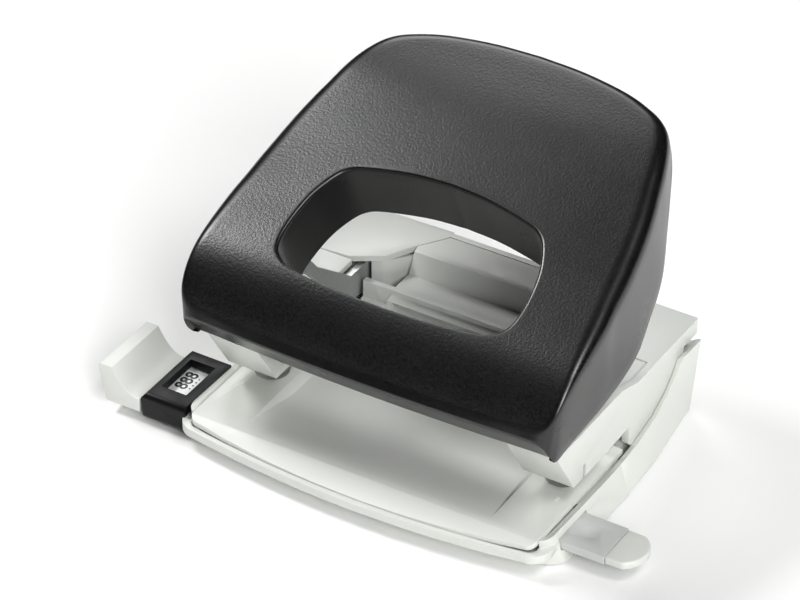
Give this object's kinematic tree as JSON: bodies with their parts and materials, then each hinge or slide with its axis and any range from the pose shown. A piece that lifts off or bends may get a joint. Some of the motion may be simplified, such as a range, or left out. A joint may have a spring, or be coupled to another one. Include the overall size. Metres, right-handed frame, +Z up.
{
  "type": "two-hole punch",
  "caption": "Desk hole punch that presses two filing holes into sheets, with a hinged handle and a sliding format guide.",
  "frame": {"origin": "centre between the two punches, on the table plane under the punch axes", "axes": "+X along the line of the two punches to the right of a person facing the front lip; +Y from the front lip to the rear; +Z up"},
  "size_m": [0.1424, 0.0893, 0.08],
  "materials": {
    "light_plastic": "fine moulded texture, light warm grey",
    "flap_plastic": "smooth moulded, mid grey",
    "guide_grey": "smooth moulded, slightly darker grey",
    "handle_black": "satin black with a fine grain on the upper face",
    "black_plastic": "satin black",
    "label_grey": "printed strip",
    "mark_white": "white",
    "nylon": "natural nylon",
    "grip_rubber": "matt black",
    "bright_steel": "ground",
    "tool_steel": "hardened and ground",
    "bracket_steel": "zinc plated",
    "dark_steel": "black coated sheet steel",
    "spring_steel": "spring wire and clips",
    "screw_steel": "zinc plated"
  },
  "bodies": {
    "base": {"front_tray": "light_plastic", "rear_body": "light_plastic", "bed_plate": "light_plastic", "punch_frame": "light_plastic", "middle_cover": "light_plastic", "pivot_shafts": "bright_steel", "shaft_rings": "spring_steel", "indicator_frame": "black_plastic", "front_mat": "grip_rubber", "rear_pads": "grip_rubber", "housing_screws": "screw_steel", "bar_detent": "spring_steel", "sight_marks": "mark_white", "hatch_pin": "bright_steel", "die_right": "tool_steel", "die_left": "tool_steel", "pin_bracket_right": "bracket_steel", "pin_bracket_left": "bracket_steel", "return_spring_right": "spring_steel", "return_spring_left": "spring_steel"},
    "handle": {"handle_cover": "handle_black", "cross_bar": "dark_steel", "pad_axles": "bright_steel", "cover_screws": "screw_steel", "lever_right": "bracket_steel", "lever_left": "bracket_steel", "press_pad_right": "nylon", "press_pad_left": "nylon"},
    "punch_right": {"punch_pin_right": "tool_steel", "pin_cap_right": "tool_steel", "pin_clip_right": "spring_steel"},
    "punch_left": {"punch_pin_left": "tool_steel", "pin_cap_left": "tool_steel", "pin_clip_left": "spring_steel"},
    "guide": {"guide_bar": "guide_grey", "format_label": "label_grey", "end_stop": "light_plastic", "tail_grip": "light_plastic"},
    "flap": {"chip_flap": "flap_plastic"}
  },
  "joints": [
    {"name": "handle_hinge", "type": "hinge", "parent": "base", "child": "handle", "pos_m": [0, 0.04, 0.019], "axis": [1, 0, 0], "range_deg": [0, 11.5], "stiffness_Nm_per_rad": 0.9, "springref_deg": -6.88},
    {"name": "punch_slide_right", "type": "slide", "parent": "base", "child": "punch_right", "axis": [0, 0, -1], "range_m": [0, 0.0085], "deforming": ["return_spring_right"]},
    {"name": "punch_slide_left", "type": "slide", "parent": "base", "child": "punch_left", "axis": [0, 0, -1], "range_m": [0, 0.0085], "deforming": ["return_spring_left"]},
    {"name": "guide_slide", "type": "slide", "parent": "base", "child": "guide", "axis": [-1, 0, 0], "range_m": [0, 0.08]},
    {"name": "flap_hinge", "type": "hinge", "parent": "base", "child": "flap", "pos_m": [0, 0.0156, 0.0024], "axis": [-1, 0, 0], "range_deg": [0, 75]}
  ],
  "couplings": [
    {"joint": "punch_slide_right", "follows": "handle_hinge", "m_per_rad": 0.0423},
    {"joint": "punch_slide_left", "follows": "handle_hinge", "m_per_rad": 0.0423}
  ]
}
